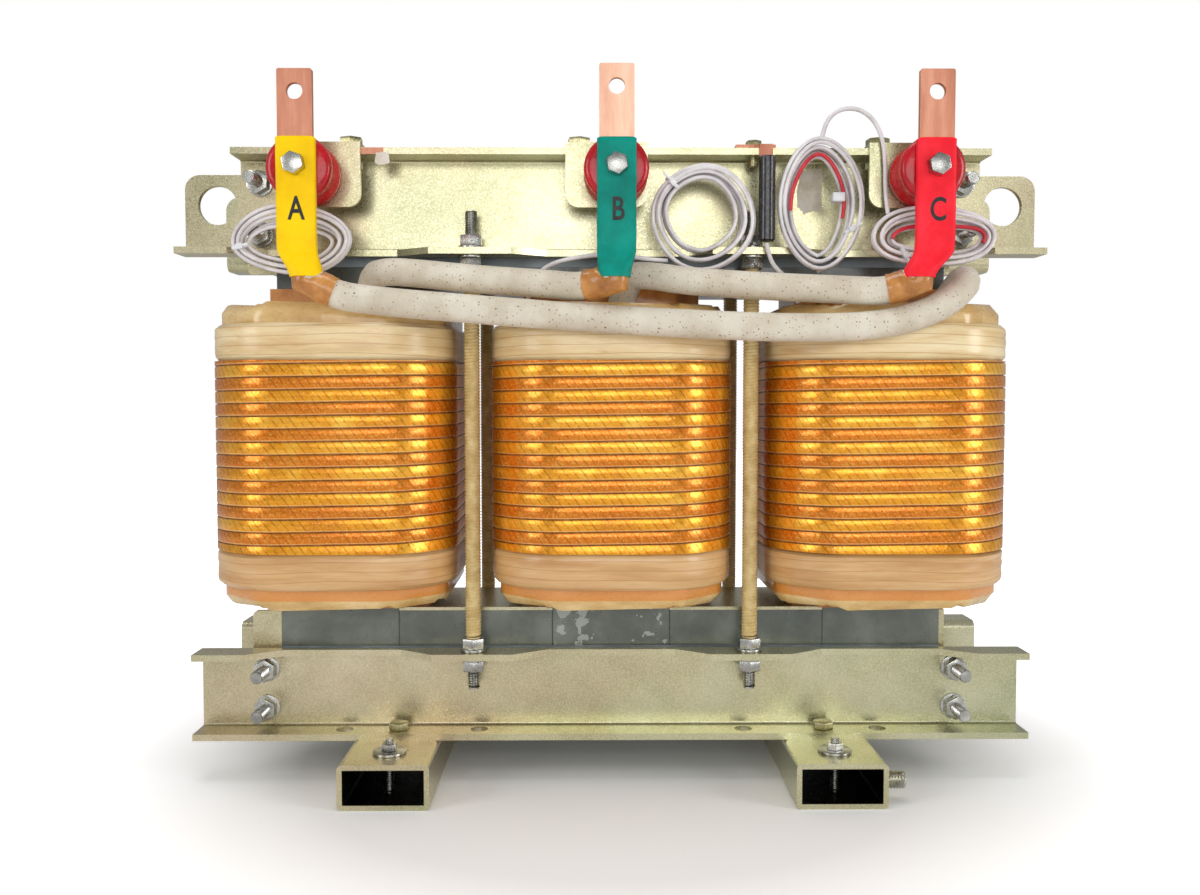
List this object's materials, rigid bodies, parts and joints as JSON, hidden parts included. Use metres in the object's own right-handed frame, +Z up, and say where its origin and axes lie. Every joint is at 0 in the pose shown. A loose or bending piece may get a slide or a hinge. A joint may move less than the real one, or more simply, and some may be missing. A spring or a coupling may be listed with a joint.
{
  "type": "dry type transformer",
  "caption": "Open three-phase dry type transformer: wound coils on a laminated core between folded clamps, with front terminals and two cross feet.",
  "frame": {"origin": "on the floor under the middle of the centre leg, the bottom centre of the object's box", "axes": "+X along the clamps, -Y out of the front where the terminals stand, +Z up"},
  "size_m": [0.792, 0.32, 0.641],
  "materials": {
    "core_varnish": "varnished",
    "zinc_plate": "yellow zinc plated",
    "zinc_fixing": "bright zinc plated",
    "press_sheet": "satin",
    "amber_laminate": "translucent",
    "inner_wrap": "varnished",
    "wrapped_strip": "glossy film",
    "collar_tape": "varnished tape",
    "glass_rod": "resin glass",
    "red_resin": "glossy",
    "copper": "satin copper",
    "yellow_sleeve": "satin",
    "green_sleeve": "satin",
    "red_sleeve": "satin",
    "glass_braid": "woven",
    "white_wire": "satin",
    "black_sleeve": "glossy"
  },
  "bodies": {
    "root": {"anchor_studs": "zinc_fixing", "clamp_bolts": "zinc_fixing", "clamp_insulation": "press_sheet", "clamp_lower_front": "zinc_plate", "clamp_lower_rear": "zinc_plate", "clamp_upper_front": "zinc_plate", "clamp_upper_rear": "zinc_plate", "coil_packers": "amber_laminate", "core_leg_centre": "core_varnish", "core_leg_left": "core_varnish", "core_leg_right": "core_varnish", "core_yoke_lower_left": "core_varnish", "core_yoke_lower_right": "core_varnish", "core_yoke_upper_left": "core_varnish", "core_yoke_upper_right": "core_varnish", "earth_stud": "zinc_fixing", "end_angle_left": "zinc_plate", "end_angle_right": "zinc_plate", "end_collars_a": "collar_tape", "end_collars_b": "collar_tape", "end_collars_c": "collar_tape", "flange_bolts": "zinc_fixing", "flat_washers": "zinc_fixing", "foot_bolts": "zinc_fixing", "foot_left": "zinc_plate", "foot_right": "zinc_plate", "former_a": "amber_laminate", "former_b": "amber_laminate", "former_c": "amber_laminate", "hex_nuts": "zinc_fixing", "inner_winding_a": "inner_wrap", "inner_winding_b": "inner_wrap", "inner_winding_c": "inner_wrap", "insulators": "red_resin", "lead_a": "glass_braid", "lead_b": "glass_braid", "lead_c": "glass_braid", "neutral_clip": "copper", "neutral_sleeve": "black_sleeve", "outer_winding_a": "wrapped_strip", "outer_winding_b": "wrapped_strip", "outer_winding_c": "wrapped_strip", "phase_sleeve_a": "yellow_sleeve", "phase_sleeve_b": "green_sleeve", "phase_sleeve_c": "red_sleeve", "terminal_bar_a": "copper", "terminal_bar_b": "copper", "terminal_bar_c": "copper", "terminal_bolts": "zinc_fixing", "terminal_brackets": "zinc_plate", "tie_sleeves": "glass_rod", "tie_studs": "zinc_fixing", "window_plates": "zinc_plate", "wire_hank_a": "white_wire", "wire_hank_b": "white_wire", "wire_hank_c": "white_wire", "wire_hank_d": "white_wire", "wire_link": "white_wire", "wire_loop": "white_wire", "wire_neutral": "white_wire"}
  },
  "joints": []
}
